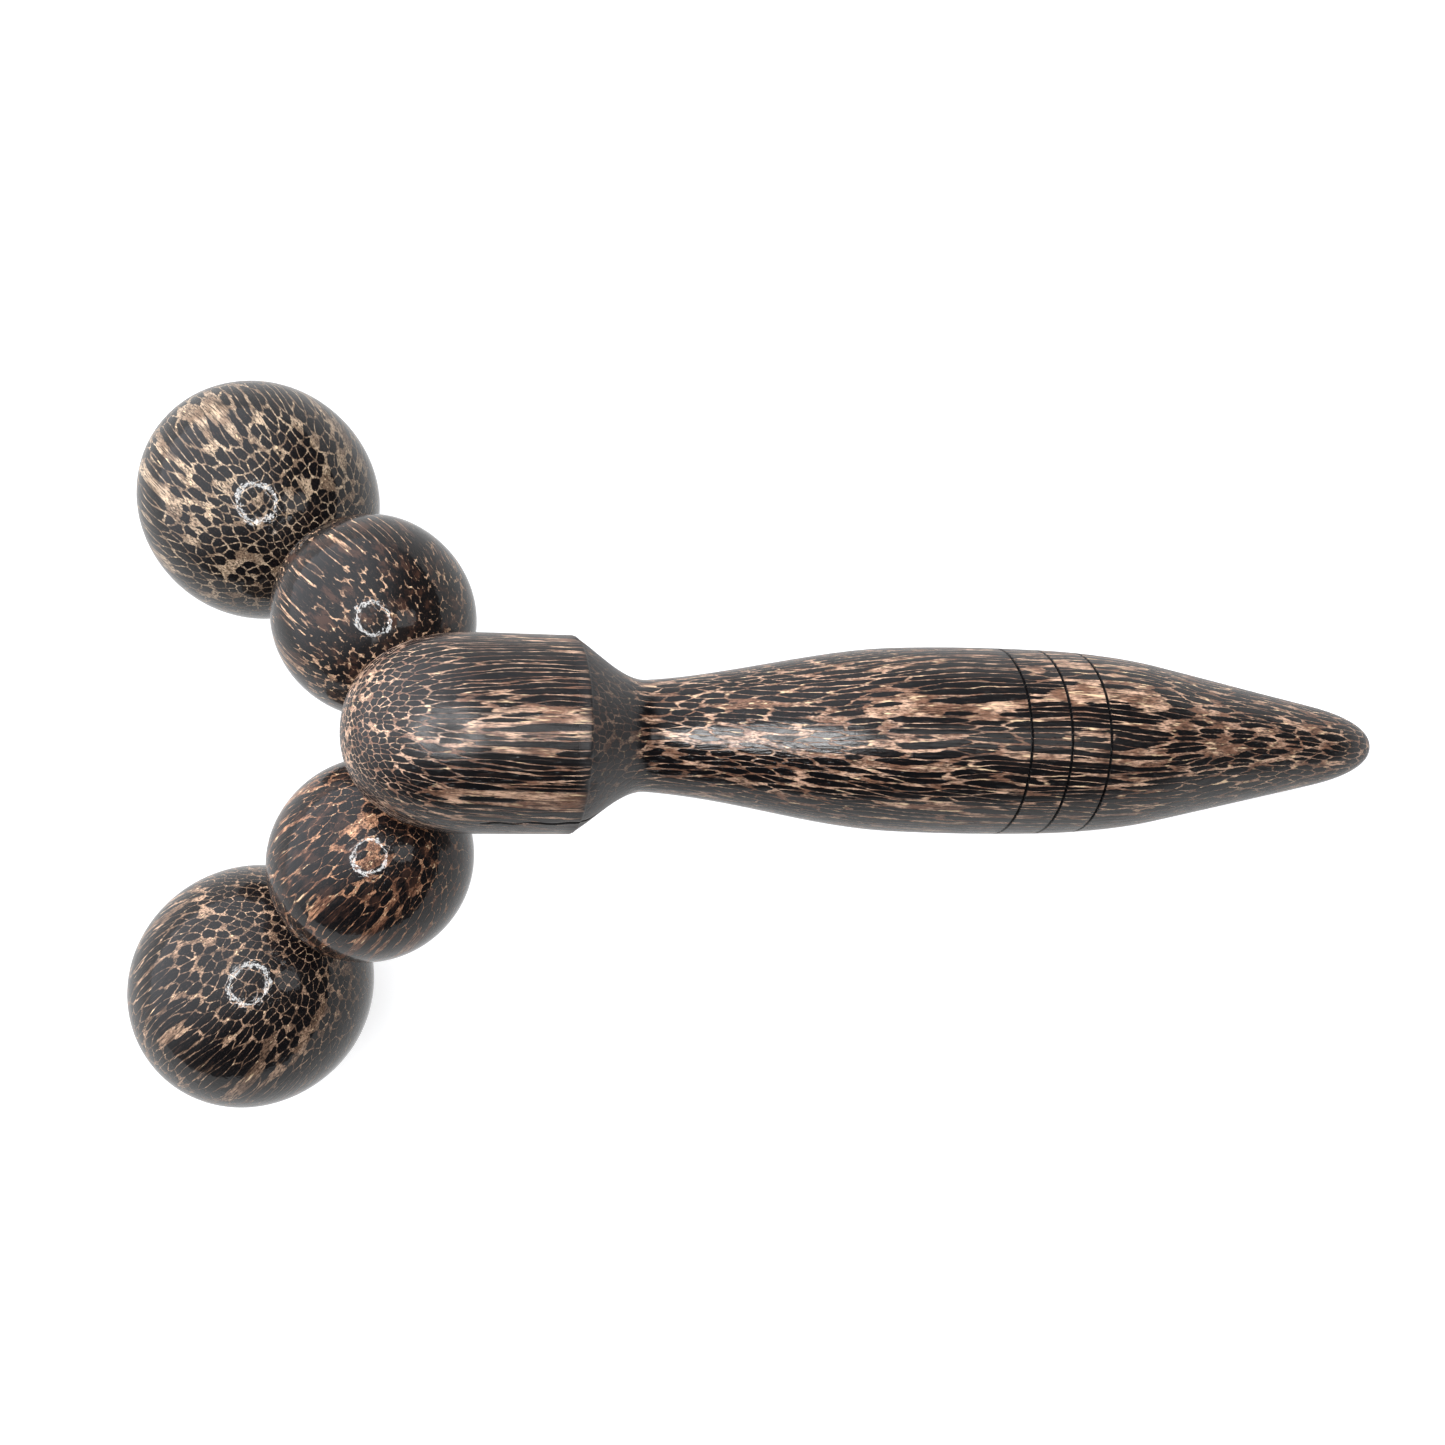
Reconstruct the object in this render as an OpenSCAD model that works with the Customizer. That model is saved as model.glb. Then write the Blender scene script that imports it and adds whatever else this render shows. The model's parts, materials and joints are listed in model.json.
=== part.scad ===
// Four-ball massage roller in dark palm wood.
//
// One turned handle carries two arms at its head.  Each arm is a steel axle pressed into the
// head, with a small ball and a large ball that both spin freely on it.
//
// Frame: millimetres, in the pose in which the roller rests on a table.  +X runs from the head
// to the tip, +Z is up, and the origin is at the middle of the footprint on the table top.
// "right" is +Y, the right hand of a holder who looks from the tip towards the head.

/* [Head] */
// Diameter of the straight band of the head.
head_d = 30; // [28:0.5:34]
// Length of the head, from the nose to the sharp shoulder edge.
head_len = 34.5; // [32:0.5:38]
// Length of the rounded nose.
nose_len = 19; // [16:0.5:22]

/* [Handle] */
// Length from the shoulder edge to the end of the tip.
handle_len = 140; // [120:1:170]
// Length of the hollow cone behind the shoulder edge.
cove_len = 11.5; // [9:0.5:14]
// Diameter of the neck, the thinnest part.
neck_d = 17.2; // [15:0.2:20]
// Largest diameter of the grip.
grip_d = 30; // [27:0.5:33]
// Diameter where the taper ends and the rounded tip starts.
tip_d = 13.6; // [11:0.2:16]

/* [Burnt rings] */
// Number of ring grooves round the grip.
ring_count = 3; // [1:1:5]
// Distance from the shoulder edge to the first ring.
ring_start = 69.3; // [60:0.1:75]
// Distance from one ring to the next.
ring_pitch = 6.9; // [4:0.1:9]
// Width of each groove at the surface.
ring_w = 0.8; // [0.4:0.1:1.4]
// Depth of each groove.
ring_depth = 0.45; // [0.2:0.05:0.8]

/* [Arms] */
// Distance in front of the shoulder edge at which the two axle lines meet.
arm_root = 12.5; // [11:0.5:14]
// Angle between each arm and the handle, seen from above.
arm_splay = 53.5; // [50:0.5:58]
// Angle by which each arm drops below the plane of the handle.
arm_drop = 46; // [42:1:50]
// Distance from the meeting point to the centre of the small ball.
inner_at = 34.8; // [34.5:0.1:37]

/* [Balls] */
// Diameter of the small ball, across its axle.
inner_d = 32; // [30:0.5:32.5]
// Length of the small ball along its axle, before its ends are faced flat.
inner_len = 34.5; // [33:0.5:35]
// Diameter of the large ball, across its axle.
outer_d = 40; // [36:0.5:43]
// Length of the large ball along its axle, before its ends are faced flat.
outer_len = 43.5; // [40:0.5:47]
// Diameter of the flat faced on the ends that meet a spacer or a washer.
face_d = 11; // [10.5:0.5:13]
// Diameter of the flat on the outer end of the large ball.
end_face_d = 14; // [13.5:0.5:16]

/* [Axles] */
// Diameter of the steel axle.
axle_d = 5; // [4:0.5:5.5]
// Radial clearance of a ball bore on its axle.
bore_clear = 0.06; // [0.03:0.01:0.09]
// Interference of the axle in the hole in the head, on the diameter.
press = 0.04; // [0.02:0.01:0.06]
// End play between a ball and whatever it thrusts against.
end_play = 0.25; // [0.2:0.05:0.5]
// Diameter of the domed head on the outer end of the axle.
pin_head_d = 8.5; // [7.5:0.5:9]
// Height of that domed head.
pin_head_h = 2.4; // [1.8:0.1:2.8]

/* [Spacers and washers] */
// Outside diameter of the spacer between the head and the small ball.
spacer_d = 8.5; // [7.5:0.5:8.5]
// Outside diameter of the washers.
washer_d = 10; // [8.5:0.5:10]
// Thickness of the washer between the two balls.
middle_washer_t = 2; // [1.5:0.1:2.5]
// Thickness of the washer under the pin head.
end_washer_t = 1; // [0.8:0.1:1.2]

/* [Hidden] */
$fn = 96;

wood = [0.30, 0.19, 0.12];
dark_wood = [0.20, 0.13, 0.09];
steel = [0.72, 0.73, 0.75];

head_r = head_d / 2;
neck_r = neck_d / 2;
grip_r = grip_d / 2;
tip_r = tip_d / 2;
axle_r = axle_d / 2;
bore_r = axle_r + bore_clear;
washer_bore_r = axle_r + 0.05;
edge = 0.3;                 // small bevel on turned edges
recess = 4;                 // depth of the pocket for the pin head
recess_r = washer_d / 2 + 0.6;
dome_h = pin_head_h - 0.8;  // the domed part of the pin head
dome_r = (pow(pin_head_d / 2, 2) + pow(dome_h, 2)) / (2 * dome_h);

// Half length of a ball of radius r and full length len, faced off to a flat of radius fr.
function faced(len, r, fr) = len / 2 * sqrt(1 - pow(fr / r, 2));

inner_half = faced(inner_len, inner_d / 2, face_d / 2);
outer_half = faced(outer_len, outer_d / 2, face_d / 2);
outer_end = faced(outer_len, outer_d / 2, end_face_d / 2);

// Stations along the axle, measured from the point where the two axle lines meet.
axle_start = axle_r / tan(30) + 1.2;
seat_at = 14.3;             // spot face in the head
spacer_end = inner_at - inner_half - end_play;
washer_at = inner_at + inner_half + end_play;
outer_at = washer_at + middle_washer_t + end_play + outer_half;
recess_floor = outer_at + outer_end - recess;
end_washer_at = recess_floor + end_play;
pin_head_at = end_washer_at + end_washer_t;

// Turned outline of the handle: [distance behind the shoulder edge, radius].
function lerp(a, b, u) = a + (b - a) * u;
function bezier(p, n) = [for (i = [0 : n]) let (u = i / n, v = 1 - u)
    v*v*v * p[0] + 3*u*v*v * p[1] + 3*u*u*v * p[2] + u*u*u * p[3]];
// A smooth run between two stations [distance, radius, slope].  The last point is left to
// the run that follows.
function run(a, b, n) = [for (i = [0 : n - 1]) let (u = i / n, w = b[0] - a[0])
    [lerp(a[0], b[0], u),
     (2*u*u*u - 3*u*u + 1) * a[1] + (u*u*u - 2*u*u + u) * w * a[2]
     + (3*u*u - 2*u*u*u) * b[1] + (u*u*u - u*u) * w * b[2]]];

hip = 0.70 * handle_len;    // where the grip turns into the straight taper
tip_at = 0.915 * handle_len;
hip_r = 0.86 * grip_r;
taper = (tip_r - hip_r) / (tip_at - hip);

nose_curve = bezier([[-head_len, 0], [-head_len, 0.62 * head_r],
                     [-head_len + 0.41 * nose_len, head_r], [nose_len - head_len, head_r]], 16);
tip_curve = bezier([[tip_at, tip_r],
                    [lerp(tip_at, handle_len, 0.5), tip_r + 0.5 * (handle_len - tip_at) * taper],
                    [handle_len, 0.53 * tip_r], [handle_len, 0]], 16);
shoulder = [0.2, head_r - edge, -0.64];
neck = [cove_len, neck_r, 0.07];
swell = [0.37 * handle_len, grip_r - 0.45, 0.05];
belly = [0.5 * handle_len, grip_r, 0];
flank = [0.6 * handle_len, grip_r - 0.35, -0.07];
hip_end = [hip, hip_r, taper];
outline = concat(nose_curve, [[-edge, head_r]],
                 run(shoulder, neck, 10), run(neck, swell, 16), run(swell, belly, 8),
                 run(belly, flank, 8), run(flank, hip_end, 8), [[hip, hip_r]], tip_curve);

// Resting pose: the roller stands on both large balls and on the underside of its tip.
arm_dir = [-cos(arm_drop) * cos(arm_splay), cos(arm_drop) * sin(arm_splay), -sin(arm_drop)];
outer_centre = [-arm_root, 0, 0] + outer_at * arm_dir;
// How far the large ball, and the tip, reach in a direction n with no sideways part.
function ball_reach(n) = let (k = n * arm_dir)
    outer_centre * n + sqrt(pow(k * outer_len / 2, 2) + (1 - k * k) * pow(outer_d / 2, 2));
function tip_reach(n) = max([for (p = tip_curve) p[0] * n[0] + p[1] * abs(n[2])]);
function down(a) = [sin(a), 0, -cos(a)];
function rest_angle(lo, hi, n) = let (a = (lo + hi) / 2)
    n == 0 ? a
    : ball_reach(down(a)) > tip_reach(down(a)) ? rest_angle(a, hi, n - 1)
    : rest_angle(lo, a, n - 1);

rest_tilt = rest_angle(5, 45, 40);
rest_height = tip_reach(down(rest_tilt));
ahead = ball_reach([-cos(rest_tilt), 0, -sin(rest_tilt)]);
behind = tip_reach([cos(rest_tilt), 0, sin(rest_tilt)]);

// From the handle's own frame (X along its axis) to the resting pose.
module rest() {
    translate([(ahead - behind) / 2, 0, rest_height]) rotate([0, rest_tilt, 0]) children();
}

// From an arm's own frame (Z along the axle) to the handle's frame.  side is 1 or -1.
module on_arm(side) {
    mirror([0, side < 0 ? 1 : 0, 0])
        translate([-arm_root, 0, 0]) rotate([0, 90 + arm_drop, 180 - arm_splay]) children();
}

// A ring of rectangular section with bevelled edges.
module ring(inside, outside, bottom, top, bevel) {
    rotate_extrude()
        polygon([[inside, bottom], [outside - bevel, bottom], [outside, bottom + bevel],
                 [outside, top - bevel], [outside - bevel, top], [inside, top]]);
}

module handle() {
    color(wood) rest() difference() {
        rotate([0, 90, 0]) rotate_extrude()
            polygon([for (p = outline) [p[1], p[0]]]);
        for (i = [0 : ring_count - 1]) ring_groove(ring_start + i * ring_pitch);
        for (side = [1, -1]) on_arm(side) {
            translate([0, 0, axle_start - 0.5]) cylinder(r = axle_r - press / 2, h = 30);
            translate([0, 0, seat_at]) cylinder(d = spacer_d + 0.6, h = 12);
        }
    }
}

// A V groove cut into the turned outline at distance x behind the shoulder edge.
module ring_groove(x) {
    surface_r = lookup(x, outline);
    half = ring_w / 2 * (1 + 1 / ring_depth);
    rotate([0, 90, 0]) rotate_extrude()
        polygon([[surface_r + 1, x - half], [surface_r - ring_depth, x],
                 [surface_r + 1, x + half]]);
}

// Steel axle: a plain shank with a bevelled root and a domed head.
module axle(side) {
    color(steel) rest() on_arm(side) rotate_extrude() union() {
        polygon([[0, axle_start], [axle_r - 0.5, axle_start], [axle_r, axle_start + 0.5],
                 [axle_r, pin_head_at + 0.1], [0, pin_head_at + 0.1]]);
        translate([0, pin_head_at]) intersection() {
            translate([0, pin_head_h - dome_r]) circle(r = dome_r);
            square([pin_head_d / 2, pin_head_h]);
        }
    }
}

// Spacer that stands in the spot face of the head.
module spacer(side) {
    color(steel) rest() on_arm(side)
        ring(washer_bore_r, spacer_d / 2, seat_at, spacer_end, edge);
}

// Washer between the two balls of an arm.
module middle_washer(side) {
    color(steel) rest() on_arm(side)
        ring(washer_bore_r, washer_d / 2, washer_at, washer_at + middle_washer_t, edge);
}

// Washer under the head of the axle.
module end_washer(side) {
    color(steel) rest() on_arm(side)
        ring(washer_bore_r, washer_d / 2, end_washer_at, end_washer_at + end_washer_t, 0.2);
}

// Half outline of a turned ball between two faced ends, as [radius, distance from centre].
function ball_curve(len, r, low, high, n) =
    let (a0 = asin(-low / (len / 2)), a1 = asin(high / (len / 2)))
    [for (i = [0 : n]) let (a = lerp(a0, a1, i / n)) [r * cos(a), len / 2 * sin(a)]];

module inner_ball(side) {
    color(dark_wood) rest() on_arm(side) translate([0, 0, inner_at]) rotate_extrude()
        polygon(concat([[bore_r, -inner_half + edge], [bore_r + edge, -inner_half]],
                       ball_curve(inner_len, inner_d / 2, inner_half, inner_half, 36),
                       [[bore_r + edge, inner_half], [bore_r, inner_half - edge]]));
}

module outer_ball(side) {
    color(wood) rest() on_arm(side) translate([0, 0, outer_at]) rotate_extrude()
        polygon(concat([[bore_r, -outer_half + edge], [bore_r + edge, -outer_half]],
                       ball_curve(outer_len, outer_d / 2, outer_half, outer_end, 40),
                       [[recess_r + edge, outer_end], [recess_r, outer_end - edge],
                        [recess_r, outer_end - recess], [bore_r, outer_end - recess]]));
}

handle();
axle(1);  // right_axle
spacer(1);  // right_spacer
inner_ball(1);  // right_inner_ball
middle_washer(1);  // right_middle_washer
outer_ball(1);  // right_outer_ball
end_washer(1);  // right_end_washer
axle(-1);  // left_axle
spacer(-1);  // left_spacer
inner_ball(-1);  // left_inner_ball
middle_washer(-1);  // left_middle_washer
outer_ball(-1);  // left_outer_ball
end_washer(-1);  // left_end_washer
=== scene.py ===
import json
import math
import random

import bpy
import bmesh
import numpy as np
from mathutils import Matrix, Quaternion, Vector, noise


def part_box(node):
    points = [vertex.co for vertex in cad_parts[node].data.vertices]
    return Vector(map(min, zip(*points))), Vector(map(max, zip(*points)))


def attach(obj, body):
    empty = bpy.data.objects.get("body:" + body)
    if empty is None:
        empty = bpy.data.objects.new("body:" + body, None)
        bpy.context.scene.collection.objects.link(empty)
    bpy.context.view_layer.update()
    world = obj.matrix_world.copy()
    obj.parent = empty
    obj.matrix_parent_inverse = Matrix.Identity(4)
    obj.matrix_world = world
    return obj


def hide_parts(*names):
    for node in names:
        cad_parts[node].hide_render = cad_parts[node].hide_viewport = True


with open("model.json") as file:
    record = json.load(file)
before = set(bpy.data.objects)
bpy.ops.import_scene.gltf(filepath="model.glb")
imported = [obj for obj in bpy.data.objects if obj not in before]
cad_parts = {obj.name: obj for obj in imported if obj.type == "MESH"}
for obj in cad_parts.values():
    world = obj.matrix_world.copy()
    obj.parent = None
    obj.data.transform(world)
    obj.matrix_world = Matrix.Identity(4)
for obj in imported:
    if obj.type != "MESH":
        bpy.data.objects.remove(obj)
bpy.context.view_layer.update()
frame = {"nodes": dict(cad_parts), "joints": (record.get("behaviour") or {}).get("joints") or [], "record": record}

MM = 0.001
scene = bpy.context.scene
random.seed(7)

# ---------------------------------------------------------------- where things are

grip = next(m for m in frame["record"]["mounts"] if m["name"] == "grip")
GRIP = Vector(grip["pos_m"])                      # on the handle's axis, at the thickest part
AXIS = Vector(grip["axis"]).normalized()          # from the head to the tip
# each side's point where its arm meets the handle's axis, and the arm's outward direction
ARMS = {j["name"].split("_")[0]: (Vector(j["pos_m"]), Vector(j["axis"]).normalized())
        for j in frame["joints"] if "inner" in j["name"]}

HANDLE_LEN = 140.0                                # mm, from the shoulder edge to the tip
SHOULDER = GRIP - AXIS * (0.5 * HANDLE_LEN * MM)
UP = Vector((0, 1, 0)).cross(AXIS) * -1           # away from the table, square to the axis


def add(name, data):
    """A new object in the scene."""
    obj = bpy.data.objects.new(name, data)
    scene.collection.objects.link(obj)
    return obj


def basis(x, z, origin):
    """A matrix whose local Z is z, whose local X is as near x as it can be, at origin."""
    z = z.normalized()
    x = (x - z * x.dot(z)).normalized()
    y = z.cross(x)
    m = Matrix((x, y, z)).transposed().to_4x4()
    m.translation = origin
    return m


def centre_of(node):
    lo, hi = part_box(node)
    return (Vector(lo) + Vector(hi)) / 2


def spheroid_of(node, axis):
    """Half length along the axis and radius across it, in mm, from the sides of the node's box."""
    lo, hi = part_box(node)
    half = (np.array(hi) - np.array(lo)) / 2 / MM
    k2 = np.array(axis) ** 2
    a2, b2 = np.linalg.lstsq(np.c_[k2, 1 - k2], half ** 2, rcond=None)[0]
    return math.sqrt(a2), math.sqrt(b2)


# ---------------------------------------------------------------- turned meshes

BALL_TURNS, HANDLE_TURNS, CUTTER_TURNS = 192, 336, 72   # points in each ring of the mesh
ON_AXIS = 1e-6                                          # mm: a smaller radius is a single point
CREASE, CREASE_AFTER_CUT = math.radians(32), math.radians(34)
EDGE_RADIUS, EDGE_STEPS = 0.35, 4                       # mm, of a rounded corner


def lathe(name, outline, matrix, turns, closed=False, shape=None):
    """A turned solid round the matrix's Z.  outline holds [distance along Z, radius] in mm.
    The mesh is turned and the object isn't, so that the object's box stays a tight one.
    shape(z, angle, radius) may return a changed angle and radius."""
    bm = bmesh.new()
    rings = []
    for z, r in outline:
        if r < ON_AXIS:
            rings.append([bm.verts.new((0, 0, z * MM))])
            continue
        ring = []
        for i in range(turns):
            a, rr = 2 * math.pi * i / turns, r
            if shape:
                a, rr = shape(z, a, r)
            ring.append(bm.verts.new((rr * math.cos(a) * MM, rr * math.sin(a) * MM, z * MM)))
        rings.append(ring)
    pairs = list(zip(rings, rings[1:]))
    if closed:
        pairs.append((rings[-1], rings[0]))
    for lower, upper in pairs:
        for i in range(turns):
            k = (i + 1) % turns
            if len(lower) == 1:
                bm.faces.new((lower[0], upper[k], upper[i]))
            elif len(upper) == 1:
                bm.faces.new((lower[i], lower[k], upper[0]))
            else:
                bm.faces.new((lower[i], lower[k], upper[k], upper[i]))
    bmesh.ops.recalc_face_normals(bm, faces=bm.faces)
    for f in bm.faces:
        f.smooth = True
    mesh = bpy.data.meshes.new(name)
    bm.to_mesh(mesh)
    bm.free()
    mesh.transform(matrix.to_3x3().to_4x4())
    mesh.set_sharp_from_angle(angle=CREASE)
    obj = add(name, mesh)
    obj.matrix_world = Matrix.Translation(matrix.translation)
    return obj


def bezier(p, n):
    """n + 1 points along the cubic curve of the four control points p."""
    out = []
    for i in range(n + 1):
        u = i / n
        v = 1 - u
        out.append([v**3 * p[0][k] + 3*u*v*v * p[1][k] + 3*u*u*v * p[2][k] + u**3 * p[3][k]
                    for k in (0, 1)])
    return out


def smooth_run(a, b, n):
    """Between two stations [distance, radius, slope], without the last point."""
    out = []
    w = b[0] - a[0]
    for i in range(n):
        u = i / n
        out.append([a[0] + w * u,
                    (2*u**3 - 3*u*u + 1) * a[1] + (u**3 - 2*u*u + u) * w * a[2]
                    + (3*u*u - 2*u**3) * b[1] + (u**3 - u*u) * w * b[2]])
    return out


def rounded(outline, corners):
    """The outline with the listed corner points rounded off."""
    out = []
    for i, p in enumerate(outline):
        if i not in corners:
            out.append(p)
            continue
        a, b, c = (Vector(outline[i - 1]), Vector(p), Vector(outline[(i + 1) % len(outline)]))
        d0 = (a - b).normalized() * min(EDGE_RADIUS, (a - b).length * 0.45)
        d1 = (c - b).normalized() * min(EDGE_RADIUS, (c - b).length * 0.45)
        for k in range(EDGE_STEPS + 1):
            u = k / EDGE_STEPS
            q = (b + d0) * (1 - u)**2 + b * 2 * u * (1 - u) + (b + d1) * u * u
            out.append([q[0], q[1]])
    return out


# ---------------------------------------------------------------- handle

# All in mm.  Distances along the handle are from the shoulder edge, positive towards the tip.
HEAD_R, HEAD_LEN, NOSE_LEN = 15.0, 34.5, 19.0
GRIP_R, NECK_R, TIP_R, COVE = 15.0, 8.6, 6.8, 11.5      # COVE is the distance to the neck
RINGS, RING_W, RING_DEPTH = (69.3, 76.2, 83.1), 0.55, 0.42


def handle_outline():
    """[distance, radius] from the nose, over the head and the grip, to the tip."""
    hip, tip_at, hip_r = 0.70 * HANDLE_LEN, 0.915 * HANDLE_LEN, 0.86 * GRIP_R
    taper = (TIP_R - hip_r) / (tip_at - hip)
    nose = bezier([[-HEAD_LEN, 0], [-HEAD_LEN, 0.62 * HEAD_R],
                   [-HEAD_LEN + 0.41 * NOSE_LEN, HEAD_R], [NOSE_LEN - HEAD_LEN, HEAD_R]], 60)
    band = [[z, HEAD_R] for z in np.linspace(NOSE_LEN - HEAD_LEN + 0.6, -0.9, 30)]
    edge = [[-0.45, HEAD_R], [-0.2, HEAD_R - 0.05], [-0.05, HEAD_R - 0.16], [0.1, HEAD_R - 0.32]]
    shoulder, neck = [0.25, HEAD_R - 0.42, -0.64], [COVE, NECK_R, 0.07]
    swell, belly = [0.37 * HANDLE_LEN, GRIP_R - 0.45, 0.05], [0.5 * HANDLE_LEN, GRIP_R, 0]
    flank, hip_end = [0.6 * HANDLE_LEN, GRIP_R - 0.35, -0.07], [hip, hip_r, taper]
    tip = bezier([[tip_at, TIP_R],
                  [(tip_at + HANDLE_LEN) / 2, TIP_R + 0.5 * (HANDLE_LEN - tip_at) * taper],
                  [HANDLE_LEN, 0.53 * TIP_R], [HANDLE_LEN, 0]], 56)
    pts = (nose + band + edge + smooth_run(shoulder, neck, 40) + smooth_run(neck, swell, 60)
           + smooth_run(swell, belly, 30) + smooth_run(belly, flank, 24)
           + smooth_run(flank, hip_end, 24)
           + [[z, hip_r + (z - hip) * taper] for z in np.linspace(hip, tip_at, 40)[:-1]] + tip)
    # cut the ring grooves into the outline
    z, r = np.array(pts).T
    extra = []
    for g in RINGS:
        for d in (-RING_W / 2 - 0.12, -RING_W / 2, -RING_W / 4, -0.06, 0.06, RING_W / 4,
                  RING_W / 2, RING_W / 2 + 0.12):
            depth = RING_DEPTH * max(0.0, 1 - (abs(d) / (RING_W / 2)) ** 1.6)
            extra.append([g + d, np.interp(g + d, z, r) - depth])
    keep = [p for p in pts if all(abs(p[0] - g) > RING_W / 2 + 0.3 for g in RINGS)]
    return sorted(keep[:-1] + extra, key=lambda p: p[0]) + [keep[-1]]


# The drying crack: its bearing round the axis from UP towards the holder's left at the shoulder
# edge, how far it swings per mm beyond the edge, its reach either way in mm, and its waviness.
CRACK_ANGLE, CRACK_SWING = math.radians(63), 0.052
CRACK_BACK, CRACK_ON = 15.0, 6.5
CRACK_WAVE, CRACK_RADIANS_PER_MM = 0.014, 1.1
STEP = 2 * math.pi / HANDLE_TURNS
CRACK_COLUMN = round(CRACK_ANGLE / STEP) * STEP     # the column of points that becomes its floor
CRACK_DEPTH, CRACK_DEEPENS = 1.1, 2.2               # mm, and how fast it gets there from an end
# The columns within this angle of the crack are drawn to its path, less so with distance from
# it, and they run straight again from EASE_END mm on, after an ease of EASE_LEN mm.
DRAWN_WITHIN, EASE_LEN, EASE_END = 1.2, 30, 40
UNEVEN = 0.07                                       # mm, of the hand-turned surface
# Nibbles out of the shoulder edge: depth in mm per unit of noise over a threshold, and reach.
NIBBLE, NIBBLE_OVER, NIBBLE_REACH = 1.1, 0.28, 1.3
NIBBLE_FROM, NIBBLE_TO = -0.9, 1.2


def handle_shape(z, a, r):
    """Hand-turned unevenness, nibbles out of the shoulder edge, and the crack that crosses it."""
    p = Vector((math.cos(a) * 1.4, math.sin(a) * 1.4, z * 0.05))
    r += UNEVEN * noise.noise(p) * min(1, r / 5)
    if NIBBLE_FROM < z < NIBBLE_TO:
        bite = noise.noise(Vector((math.cos(a) * 7, math.sin(a) * 7, 3.3)))
        r -= max(0, bite - NIBBLE_OVER) * NIBBLE * (1 - abs(z) / NIBBLE_REACH)
    if -CRACK_BACK < z < CRACK_ON and abs(a - CRACK_COLUMN) < STEP / 2:
        strength = 1 - (z / CRACK_ON if z > 0 else -z / CRACK_BACK)
        r -= CRACK_DEPTH * min(1.0, CRACK_DEEPENS * strength)
    path = (CRACK_ANGLE + CRACK_SWING * min(max(z, 0), CRACK_ON)
            + CRACK_WAVE * math.sin(CRACK_RADIANS_PER_MM * z))
    near = (max(0.0, 1 - abs(a - CRACK_COLUMN) / DRAWN_WITHIN)
            * max(0.0, min(1.0, (EASE_END - z) / EASE_LEN)))
    return a + (path - CRACK_COLUMN) * near * near * (3 - 2 * near), r


def cut(target, cutter):
    """Takes cutter's shape out of target's mesh, and removes cutter."""
    mod = target.modifiers.new("cut", "BOOLEAN")
    mod.operation, mod.object, mod.solver = "DIFFERENCE", cutter, "EXACT"
    bpy.context.view_layer.update()
    graph = bpy.context.evaluated_depsgraph_get()
    mesh = bpy.data.meshes.new_from_object(target.evaluated_get(graph))
    target.modifiers.clear()
    old, target.data = target.data, mesh
    mesh.name = target.name
    bpy.data.meshes.remove(old)
    bpy.data.objects.remove(cutter)


# The blind hole of an axle and the flat seat round its mouth, in mm along the arm.  The seat's
# cutter ends well outside the head.
HOLE_END, HOLE_R, SEAT_AT, SEAT_R, OUTSIDE = 4.5, 2.5, 14.3, 4.55, 27
HOLE = [[HOLE_END, 0], [HOLE_END + 0.3, HOLE_R], [SEAT_AT, HOLE_R], [SEAT_AT, SEAT_R],
        [OUTSIDE, SEAT_R], [OUTSIDE, 0]]

handle_frame = basis(UP, AXIS, SHOULDER)
handle = lathe("handle_turned", handle_outline(), handle_frame, HANDLE_TURNS, shape=handle_shape)
for root, arm in ARMS.values():
    cut(handle, lathe("cutter", HOLE, basis(UP, arm, root), CUTTER_TURNS))
handle.data.set_sharp_from_angle(angle=CREASE_AFTER_CUT)
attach(handle, "handle")
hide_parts("handle")

# ---------------------------------------------------------------- balls

# In mm: the bore, the flat face at each end (END_FACE_R is an outer ball's outer one), the pocket.
BORE_R, FACE_R, END_FACE_R, POCKET_R, POCKET_DEPTH = 2.56, 5.5, 7.0, 5.6, 4.0
BALL_POINTS = 110
BALL_UNEVEN = 0.09                                  # mm


def ball(side, which):
    """A ball flattened at both ends and bored through, with a pocket in an outer ball's end."""
    node = f"{side}_{which}_ball"
    arm = ARMS[side][1]
    a, b = spheroid_of(node, arm)
    low = a * math.sqrt(1 - (FACE_R / b) ** 2)
    end_r = END_FACE_R if which == "outer" else FACE_R
    high = a * math.sqrt(1 - (end_r / b) ** 2)
    t0, t1 = math.asin(-low / a), math.asin(high / a)
    curve = [[a * math.sin(t), b * math.cos(t)] for t in np.linspace(t0, t1, BALL_POINTS)]
    curve = rounded(curve, {0, len(curve) - 1})
    start = [[-low + 0.3, BORE_R], [-low + 0.08, BORE_R + 0.08], [-low, BORE_R + 0.3],
             [-low, BORE_R + 1.5]]
    if which == "outer":
        end = [[high, POCKET_R + 0.25], [high - 0.08, POCKET_R + 0.07], [high - 0.3, POCKET_R],
               [high - POCKET_DEPTH + 0.1, POCKET_R], [high - POCKET_DEPTH, POCKET_R - 0.1],
               [high - POCKET_DEPTH, BORE_R]]
    else:
        end = [[high, BORE_R + 1.5], [high, BORE_R + 0.3], [high - 0.08, BORE_R + 0.08],
               [high - 0.3, BORE_R]]
    offset = random.uniform(0, 50)

    def shape(z, angle, r):
        if r < POCKET_R + 0.5:
            return angle, r
        p = Vector((math.cos(angle) * 1.3, math.sin(angle) * 1.3, z * 0.07 + offset))
        return angle, r + BALL_UNEVEN * noise.noise(p)

    obj = lathe(node + "_turned", start + curve + end, basis(UP, arm, centre_of(node)),
                BALL_TURNS, closed=True, shape=shape)
    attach(obj, node)
    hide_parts(node)
    return obj


balls = {(side, which): ball(side, which) for side in ARMS for which in ("inner", "outer")}

# ---------------------------------------------------------------- materials


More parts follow.
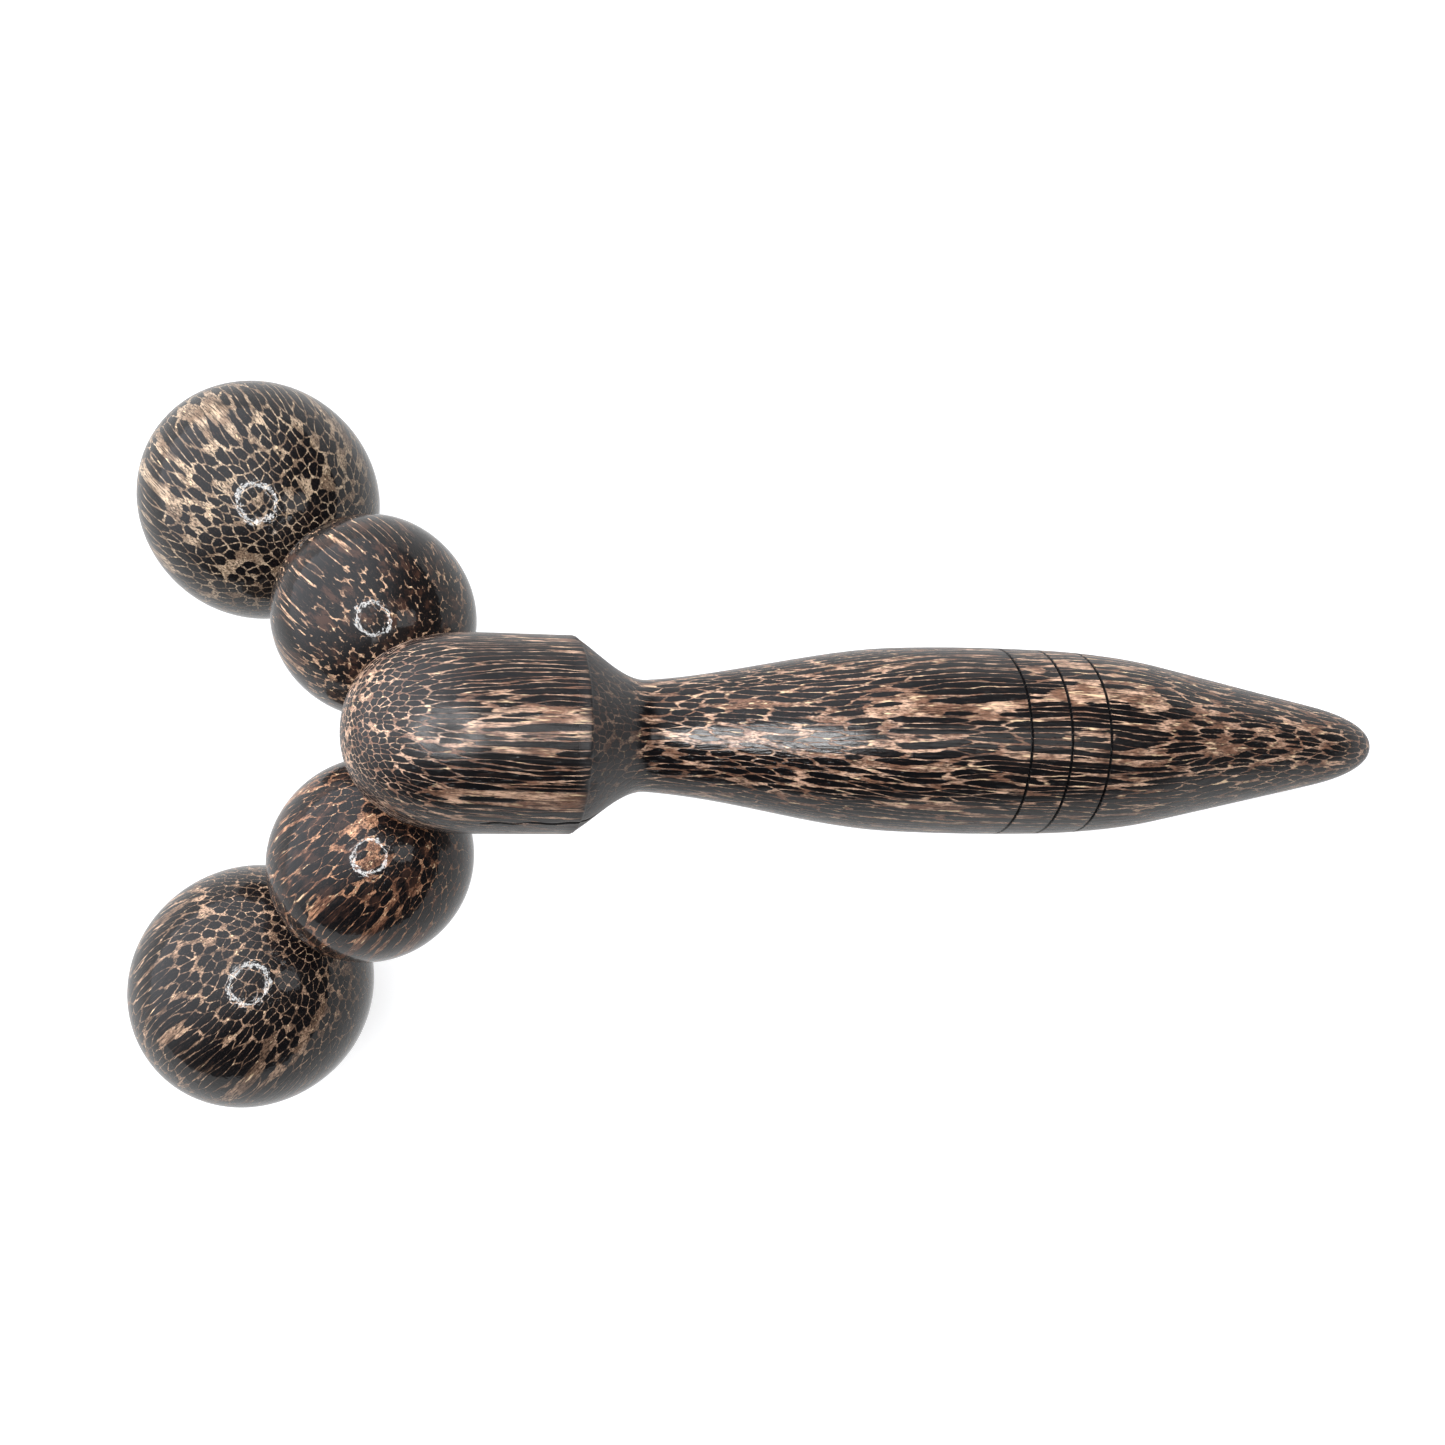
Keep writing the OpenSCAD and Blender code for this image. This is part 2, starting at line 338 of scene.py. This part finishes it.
def srgb(r, g, b):
    """The linear colour of an sRGB one, given in 0 to 255."""
    return tuple(((c / 255 + 0.055) / 1.055) ** 2.4 if c > 10 else c / 255 / 12.92
                 for c in (r, g, b)) + (1.0,)


GRAIN_RELIEF, FILM_RELIEF = 0.00003, 0.00005        # metres
LEAN = (0.02, 0.03, 0)                              # radians, of the grain off the turning axis


class Tree:
    """A material's nodes, with short calls that take values or sockets.  grain is the matrix
    whose Z the wood grain follows."""

    def __init__(self, name, grain=Matrix()):
        self.turn = grain.to_3x3().inverted().to_euler("XYZ")
        self.mat = bpy.data.materials.new(name)
        self.mat.use_nodes = True
        self.nodes, self.links = self.mat.node_tree.nodes, self.mat.node_tree.links
        self.nodes.clear()

    def put(self, socket, value):
        if isinstance(value, bpy.types.NodeSocket):
            self.links.new(value, socket)
        else:
            socket.default_value = value

    def math(self, op, a, b=0.0):
        n = self.nodes.new("ShaderNodeMath")
        n.operation = op
        self.put(n.inputs[0], a)
        self.put(n.inputs[1], b)
        return n.outputs[0]

    def vec(self, op, a, b):
        n = self.nodes.new("ShaderNodeVectorMath")
        n.operation = op
        self.put(n.inputs[0], a)
        self.put(n.inputs["Scale" if op == "SCALE" else 1], b)
        return n.outputs[0]

    def split(self, v):
        n = self.nodes.new("ShaderNodeSeparateXYZ")
        self.put(n.inputs[0], v)
        return n.outputs

    def rotate(self, v, angles):
        n = self.nodes.new("ShaderNodeVectorRotate")
        n.rotation_type = "EULER_XYZ"
        self.put(n.inputs["Vector"], v)
        n.inputs["Rotation"].default_value = angles
        return n.outputs[0]

    def step(self, v, lo, hi, out_lo=0.0, out_hi=1.0, smooth=True):
        """out_lo up to v = lo, out_hi from v = hi on."""
        n = self.nodes.new("ShaderNodeMapRange")
        n.interpolation_type = "SMOOTHSTEP" if smooth else "LINEAR"
        for i, x in enumerate((v, lo, hi, out_lo, out_hi)):
            self.put(n.inputs[i], x)
        return n.outputs[0]

    def mix(self, f, a, b):
        """Colour a where f is 0, b where f is 1."""
        n = self.nodes.new("ShaderNodeMix")
        n.data_type = "RGBA"
        self.put(n.inputs[0], f)
        self.put(n.inputs[6], a)
        self.put(n.inputs[7], b)
        return n.outputs[2]

    def noise(self, v, scale, detail, rough=0.5, colour=False):
        """Noise of about 0 to 1, with scale its waves per unit of v along each axis."""
        n = self.nodes.new("ShaderNodeTexNoise")
        self.put(n.inputs["Vector"], self.vec("MULTIPLY", v, scale))
        n.inputs["Scale"].default_value = 1.0
        n.inputs["Detail"].default_value = detail
        n.inputs["Roughness"].default_value = rough
        return n.outputs[1 if colour else 0]

    def cells(self, v, feature, randomness):
        n = self.nodes.new("ShaderNodeTexVoronoi")
        n.voronoi_dimensions, n.feature = "2D", feature
        self.put(n.inputs["Vector"], v)
        n.inputs["Scale"].default_value = 1.0
        n.inputs["Randomness"].default_value = randomness
        return n.outputs

    def bump(self, height, distance, strength=1.0):
        """A normal; distance is in metres."""
        n = self.nodes.new("ShaderNodeBump")
        n.inputs["Strength"].default_value = strength
        n.inputs["Distance"].default_value = distance
        self.put(n.inputs["Height"], height)
        return n.outputs[0]

    def local_mm(self):
        """Millimetres from the object's origin, along the axes of the grain."""
        n = self.nodes.new("ShaderNodeTexCoord")
        return self.rotate(self.vec("SCALE", n.outputs["Object"], 1000.0), self.turn)

    def surface(self, **sockets):
        """The finished material, from the Principled shader's sockets with _ for each space."""
        n = self.nodes.new("ShaderNodeBsdfPrincipled")
        for name, value in sockets.items():
            self.put(n.inputs[name.replace("_", " ")], value)
        out = self.nodes.new("ShaderNodeOutputMaterial")
        self.links.new(n.outputs[0], out.inputs[0])
        return self.mat


def palm_wood(name, grain, seed, cell, fill, patch, mortar, mortar2, vary=0.12, sparse=0.04,
              gap=0.06, dark=(9, 8, 10), flecks=0.5, shade=0.0, ragged=0.42):
    """Palm wood: black fibre bundles that run along the grain's Z, set in tan mortar.  Returns
    the tree, the colour, the height of the grain and the share of bundle, for a finish to go on.
    cell is the bundles' spacing in mm, fill their radius in cells, vary and patch how much that
    changes from bundle to bundle and from region to region, sparse the share left out, gap half
    the seam between two neighbours, ragged the roughness of their outlines, shade their brown
    staining, and flecks the amount of pale specks.
    mortar and mortar2 are the two tones of the mortar, and dark is the bundles' own."""
    t = Tree(name, grain)
    p = t.rotate(t.vec("ADD", t.local_mm(), seed), LEAN)
    half = (0.5, 0.5, 0.5)
    # the bundles wander a little as they run
    slow = t.vec("SUBTRACT", t.noise(p, (0.06, 0.06, 0.030), 1.0, colour=True), half)
    quick = t.vec("SUBTRACT", t.noise(p, (0.50, 0.50, 0.09), 2.0, colour=True), half)
    q = t.vec("ADD", p, t.vec("MULTIPLY", slow, (5.0, 5.0, 0)))
    q = t.vec("ADD", q, t.vec("MULTIPLY", quick, (1.0, 1.0, 0)))
    c = t.vec("SCALE", q, 1 / cell)
    near = t.cells(c, "F1", 0.72)
    edge = t.cells(c, "DISTANCE_TO_EDGE", 0.72)["Distance"]
    chance = t.split(near["Color"])
    region = t.math("SUBTRACT", t.noise(p, (0.13, 0.13, 0.03), 2.0), 0.5)
    radius = t.math("ADD", fill, t.math("MULTIPLY", t.math("SUBTRACT", chance[0], 0.5), vary))
    radius = t.math("ADD", radius, t.math("MULTIPLY", region, patch))
    absent = t.step(t.math("ADD", chance[1], t.math("MULTIPLY", region, 0.9)),
                    sparse - 0.03, sparse + 0.06, 0.7, 0.0)
    radius = t.math("SUBTRACT", radius, absent)
    rag = t.math("MULTIPLY", t.math("SUBTRACT", t.noise(p, (3.4, 3.4, 0.45), 3.0), 0.5), ragged)
    inside = t.math("SUBTRACT", t.math("ADD", radius, rag), near["Distance"])
    seam = t.math("ADD", edge, t.math("MULTIPLY", rag, 0.45))
    bundle = t.math("MULTIPLY", t.step(inside, -0.04, 0.03), t.step(seam, gap - 0.04, gap + 0.02))
    # mortar: soft cell tissue, mottled, with dark fibres and pale flecks along the grain
    fibre = t.noise(p, (3.8, 3.8, 0.22), 3.0, 0.6)
    cloud = t.noise(p, (0.5, 0.5, 0.20), 4.0, 0.65)
    soft = t.mix(t.step(cloud, 0.36, 0.58), srgb(*mortar), srgb(*mortar2))
    soft = t.mix(t.step(fibre, 0.46, 0.62, 0.0, 0.9), soft, srgb(*[v * 0.36 for v in mortar2]))
    speck = t.noise(p, (5.0, 5.0, 1.1), 3.0, 0.7)
    soft = t.mix(t.step(speck, 0.48, 0.66, 0.0, 0.75), soft, srgb(*[v * 0.42 for v in mortar2]))
    pale = t.step(t.noise(p, (2.2, 2.2, 0.25), 2.0, 0.6), 0.66 - 0.06 * flecks, 0.72)
    soft = t.mix(t.math("MULTIPLY", pale, 0.85), soft, srgb(238, 208, 168))
    # bundles: near black, with brown threads
    thread = t.noise(p, (4.5, 4.5, 0.14), 3.0, 0.65)
    hard = t.mix(t.step(thread, 0.54, 0.76, 0.0, 0.5), srgb(*dark), srgb(76, 54, 45))
    if shade:
        stain = t.math("MULTIPLY", t.step(cloud, 0.50, 0.66), shade)
        hard = t.mix(stain, hard, srgb(80, 54, 43))
    colour = t.mix(bundle, soft, hard)
    pit = t.step(t.noise(p, (2.9, 2.9, 0.40), 2.0), 0.63, 0.70)
    colour = t.mix(t.math("MULTIPLY", pit, 0.8), colour, srgb(14, 11, 11))
    height = t.math("ADD", t.math("MULTIPLY", bundle, 0.45), t.math("MULTIPLY", fibre, 0.9))
    height = t.math("SUBTRACT", height, t.math("MULTIPLY", pit, 1.2))
    return t, colour, height, bundle


def handle_wood():
    """Palm wood under a satin finish, with the burnt rings, the cone painted darker, and the crack's painted shade
    and painted sheen.
    """
    t, colour, height, bundle = palm_wood(
        "handle_wood", handle_frame, (31, 12, 5), cell=1.0, fill=0.57, patch=0.42, sparse=0.05,
        flecks=1.1, mortar=(212, 174, 148), mortar2=(122, 88, 70))
    raw = t.local_mm()
    x, y, z = t.split(raw)
    # the hollow cone behind the shoulder is painted darker and made rougher
    dark_cone = t.step(t.math("ABSOLUTE", t.math("SUBTRACT", z, 3.6)), 3.4, 6.4, 0.66, 0.0)
    colour = t.mix(dark_cone, colour, srgb(32, 31, 33))
    wobble = t.math("MULTIPLY", t.noise(raw, (0.9, 0.9, 0.9), 2.0), 0.12)
    burnt = 0.0
    for at in RINGS:
        d = t.math("ABSOLUTE", t.math("SUBTRACT", z, at))
        burnt = t.math("MAXIMUM", burnt, t.step(t.math("ADD", d, wobble), 0.26, 0.40, 1.0, 0.0))
    # the inside of the drying crack is painted black, a painted shade, and its lips are painted paler grey, a
    # painted sheen
    bearing = t.math("ARCTAN2", y, x)
    swing = t.math("MULTIPLY", t.math("MAXIMUM", z, 0.0), CRACK_SWING)
    sway = t.math("MULTIPLY", t.math("SINE", t.math("MULTIPLY", z, CRACK_RADIANS_PER_MM)), CRACK_WAVE)
    beside = t.math("SUBTRACT", t.math("SUBTRACT", t.math("SUBTRACT", bearing, swing), sway),
                    CRACK_ANGLE)
    reach = t.math("MULTIPLY", t.step(z, -CRACK_BACK, -1.0, 0.2, 1.0, False),
                   t.step(z, 1.0, CRACK_ON, 1.0, 0.2, False))
    reach = t.math("MULTIPLY", reach, t.math("GREATER_THAN", z, -CRACK_BACK))
    reach = t.math("MULTIPLY", reach, t.math("LESS_THAN", z, CRACK_ON))
    # crack: where the painted shade inside the crack goes
    crack = t.math("LESS_THAN", t.math("ABSOLUTE", beside),
                   t.math("ADD", t.math("MULTIPLY", reach, 0.019), 0.006))
    crack = t.math("MULTIPLY", crack, t.math("GREATER_THAN", reach, 0.0))
    crack_lip_sheen = t.step(t.math("ABSOLUTE", beside), 0.03, 0.08, 0.55, 0.0)
    crack_lip_sheen = t.math("MULTIPLY", crack_lip_sheen, t.step(t.math("ABSOLUTE", z), 1.0, 6.0, 1.0, 0.0))
    colour = t.mix(crack_lip_sheen, colour, srgb(112, 106, 102))
    # black on the burnt rings, and the painted shade inside the crack
    colour = t.mix(t.math("MAXIMUM", burnt, crack), colour, srgb(8, 7, 8))
    # hands have polished the neck and the swell; the head stays duller
    dull = t.math("MAXIMUM", t.step(z, -2.0, 12.0, 0.25, 0.11), t.step(z, 25.0, 70.0, 0.11, 0.25))
    dull = t.math("ADD", dull, t.step(bundle, 0.0, 1.0, 0.05, 0.0))
    dull = t.math("ADD", dull, t.math("MULTIPLY", dark_cone, 0.25))
    dull = t.math("MAXIMUM", dull, crack)
    streaks = t.math("MULTIPLY", t.noise(raw, (1.4, 1.4, 0.07), 3.0), 1.9)
    grain = t.bump(t.math("ADD", height, streaks), GRAIN_RELIEF)
    return t.surface(Base_Color=colour, Roughness=dull, Normal=grain, Specular_IOR_Level=0.6)


def ball_wood(name, grain, **look):
    """Palm wood under a clear glossy lacquer."""
    t, colour, height, bundle = palm_wood(name, grain, **look)
    grain = t.bump(height, GRAIN_RELIEF, 0.9)
    film = t.math("ADD", t.noise(t.local_mm(), (0.7, 0.7, 0.7), 2.0),
                  t.math("MULTIPLY", height, 0.10))
    return t.surface(Base_Color=colour, Roughness=t.step(bundle, 0.0, 1.0, 0.55, 0.42),
                     Normal=grain, Coat_Normal=t.bump(film, FILM_RELIEF), Coat_Weight=0.9,
                     Coat_Roughness=0.04, Coat_IOR=1.45, Specular_IOR_Level=0.08)


def steel(name, tint, marks_per_mm):
    """Drawn or stamped steel with faint marks."""
    t = Tree(name)
    p = t.local_mm()
    marks = t.noise(p, marks_per_mm, 4.0, 0.65)
    cloud = t.noise(p, (0.8, 0.8, 0.8), 3.0)
    colour = t.mix(t.step(marks, 0.35, 0.7), srgb(*tint), srgb(*[v * 0.72 for v in tint]))
    colour = t.mix(t.step(cloud, 0.55, 0.8, 0.0, 0.5), colour, srgb(112, 104, 96))
    rough = t.step(marks, 0.3, 0.7, 0.22, 0.42)
    return t.surface(Base_Color=colour, Metallic=1.0, Roughness=rough,
                     Normal=t.bump(marks, GRAIN_RELIEF, 0.6))


handle.data.materials.clear()
handle.data.materials.append(handle_wood())
LOOKS = {
    ("right", "outer"): dict(seed=(3, 41, 9), cell=1.4, fill=0.61, gap=0.065, patch=0.36,
                             sparse=0.10, mortar=(194, 170, 144), mortar2=(124, 102, 84)),
    ("right", "inner"): dict(seed=(55, 7, 22), cell=0.72, fill=0.625, vary=0.1, gap=-0.03,
                             patch=0.16, ragged=0.26, sparse=0.0, mortar=(206, 168, 138),
                             mortar2=(134, 104, 84), dark=(14, 13, 14), flecks=1.0, shade=0.5),
    ("left", "inner"): dict(seed=(17, 63, 40), cell=1.3, fill=0.62, gap=0.03, patch=0.7,
                            mortar=(190, 142, 110), mortar2=(112, 76, 58), flecks=1.0,
                            shade=0.3),
    ("left", "outer"): dict(seed=(71, 29, 13), cell=1.35, fill=0.585, gap=0.045, patch=0.36,
                            sparse=0.06, mortar=(190, 156, 130), mortar2=(110, 86, 70)),
}
for key, obj in balls.items():
    obj.data.materials.append(ball_wood("_".join(key) + "_ball_wood",
                                       basis(UP, ARMS[key[0]][1], obj.location), **LOOKS[key]))

axle_steel = steel("axle_steel", (196, 197, 200), (3, 3, 3))
washer_steel = steel("washer_steel", (188, 189, 192), (5, 5, 5))
for name, obj in frame["nodes"].items():
    if obj.hide_render:
        continue
    obj.data.materials.clear()
    obj.data.materials.append(axle_steel if name.endswith("axle") else washer_steel)

# ---------------------------------------------------------------- camera

# The camera's lens and sensor in mm, place and aim in metres, and roll.
LENS, SENSOR = 47.8, 36.0
CAMERA_AT, AIM = Vector((0.0209, -0.0109, 0.3413)), Vector((-0.0039, 0.0029, 0.030))
ROLL = math.radians(0.05)
RIGHT, FAR = Vector((1, 0, 0)), Vector((0, 1, 0))   # in the picture: to the right, and up it

cam = add("camera", bpy.data.cameras.new("camera"))
scene.camera = cam
cam.data.lens, cam.data.sensor_width = LENS, SENSOR
cam.location = CAMERA_AT
back = (cam.location - AIM).normalized()
cam.rotation_mode = "QUATERNION"
cam.rotation_quaternion = (basis(RIGHT, back, cam.location).to_quaternion()
                           @ Quaternion((0, 0, 1), ROLL))
cam.data.clip_start = 0.01

# ---------------------------------------------------------------- floor and light

# Sizes and places are in metres.
FLOOR_HALF, FLOOR_Z, FLOOR_GLOW = 6, -0.0002, 0.74
RING_INNER, RING_OUTER, RING_OVER_CAMERA, RING_GLOW = 0.290, 0.332, 0.62, 31.0
RING_POINTS = 96
SIDE_HALF_X, SIDE_HALF_Y, SIDE_FAR, SIDE_GLOW = 0.2, 0.24, 1.2, 1.6
TABLE_HALF, TABLE_Z, TABLE_GLOW = 1.2, -0.002, 0.80
ROOM_TINT, ROOM_DIM, ROOM_BRIGHT = (0.93, 0.95, 1.0, 1), 0.055, 1.9
# The room is brightest where the cosine of the angle to the window's direction passes WINDOW_FULL.
WINDOW_WAY, WINDOW_FULL = Vector((-0.75, 0.55, 0.5)), 0.95


def rectangle(x, y):
    return [(-x, -y, 0), (x, -y, 0), (x, y, 0), (-x, y, 0)]


def circle(radius):
    angles = [2 * math.pi * i / RING_POINTS for i in range(RING_POINTS)]
    return [(radius * math.cos(a), radius * math.sin(a), 0) for a in angles]


floor_mesh = bpy.data.meshes.new("floor")
floor_mesh.from_pydata(rectangle(FLOOR_HALF, FLOOR_HALF), [], [(0, 1, 2, 3)])
floor = add("floor", floor_mesh)
floor.location.z = FLOOR_Z
floor.visible_diffuse = floor.visible_glossy = False   # keeps its glare off the roller
paper = Tree("floor")
mottle = paper.noise(paper.local_mm(), (0.4, 0.4, 0.4), 3.0)
floor_mesh.materials.append(paper.surface(
    Base_Color=paper.mix(mottle, srgb(180, 181, 183), srgb(186, 186, 188)), Roughness=0.9,
    Emission_Color=(1, 1, 1, 1), Emission_Strength=FLOOR_GLOW))


def card(name, rim, strength, matrix):
    """A flat glowing piece of studio kit, unseen by the camera.  rim is one loop of points, or
    two loops for a ring."""
    bm = bmesh.new()
    loops = [[bm.verts.new(p) for p in points] for points in rim]
    if len(loops) == 1:
        bm.faces.new(loops[0])
    else:
        inner, outer = loops
        for i in range(len(inner)):
            k = (i + 1) % len(inner)
            bm.faces.new((inner[i], inner[k], outer[k], outer[i]))
    mesh = bpy.data.meshes.new(name)
    bm.to_mesh(mesh)
    bm.free()
    obj = add(name, mesh)
    obj.matrix_world = matrix
    obj.visible_camera = False
    glow = bpy.data.materials.new(name)
    glow.use_nodes = True
    nodes = glow.node_tree.nodes
    nodes.clear()
    emit, end = nodes.new("ShaderNodeEmission"), nodes.new("ShaderNodeOutputMaterial")
    emit.inputs["Strength"].default_value = strength
    glow.node_tree.links.new(emit.outputs[0], end.inputs[0])
    mesh.materials.append(glow)
    return obj


# A ring light high over the camera.  Only its reflection counts: the small bright ring on each
# ball.
ring_light = card("ring_light", [circle(RING_INNER), circle(RING_OUTER)], RING_GLOW,
                  basis(RIGHT, back, cam.location + back * RING_OVER_CAMERA))
ring_light.visible_diffuse = False
# A small dim card to the right, which shows as a soft patch beside each ring.
side_way = Vector((0.67, 0, 0.74))
side_card = card("side_card", [rectangle(SIDE_HALF_X, SIDE_HALF_Y)], SIDE_GLOW,
                 basis(FAR, side_way, side_way * SIDE_FAR))
# A sheet just under the floor.  Only its reflection counts: the sheen on the steep sides.
table_card = card("table_card", [rectangle(TABLE_HALF, TABLE_HALF)], TABLE_GLOW,
                  Matrix.Translation((0, 0, TABLE_Z)))
table_card.visible_diffuse = table_card.visible_shadow = False


def soft_box(name, place, width, height, watts):
    """A wide lamp that points at the roller and leaves no reflection of its own."""
    lamp = bpy.data.lights.new(name, "AREA")
    lamp.shape, lamp.size, lamp.size_y, lamp.energy = "RECTANGLE", width, height, watts
    obj = add(name, lamp)
    obj.location = place
    obj.visible_glossy = False
    obj.rotation_mode = "QUATERNION"
    obj.rotation_quaternion = (-obj.location).to_track_quat("-Z", "Y")


soft_box("key", (-0.72, 0.62, 0.55), 1.1, 0.9, 14.0)
soft_box("top", (0.0, 0.10, 1.0), 0.8, 0.8, 10.5)

# the room: dim, and brighter towards the window side on the upper left
world = bpy.data.worlds.new("studio")
scene.world = world
world.use_nodes = True
sky = world.node_tree
way = sky.nodes.new("ShaderNodeTexCoord").outputs["Generated"]
dot = sky.nodes.new("ShaderNodeVectorMath")
dot.operation = "DOT_PRODUCT"
sky.links.new(way, dot.inputs[0])
dot.inputs[1].default_value = WINDOW_WAY.normalized()
fade = sky.nodes.new("ShaderNodeMapRange")
fade.interpolation_type = "SMOOTHSTEP"
for i, value in enumerate((0.0, WINDOW_FULL, ROOM_DIM, ROOM_BRIGHT), start=1):
    fade.inputs[i].default_value = value
sky.links.new(dot.outputs["Value"], fade.inputs[0])
sky.nodes["Background"].inputs[0].default_value = ROOM_TINT
sky.links.new(fade.outputs[0], sky.nodes["Background"].inputs[1])
scene.view_settings.view_transform = "Standard"
scene.view_settings.look = "None"
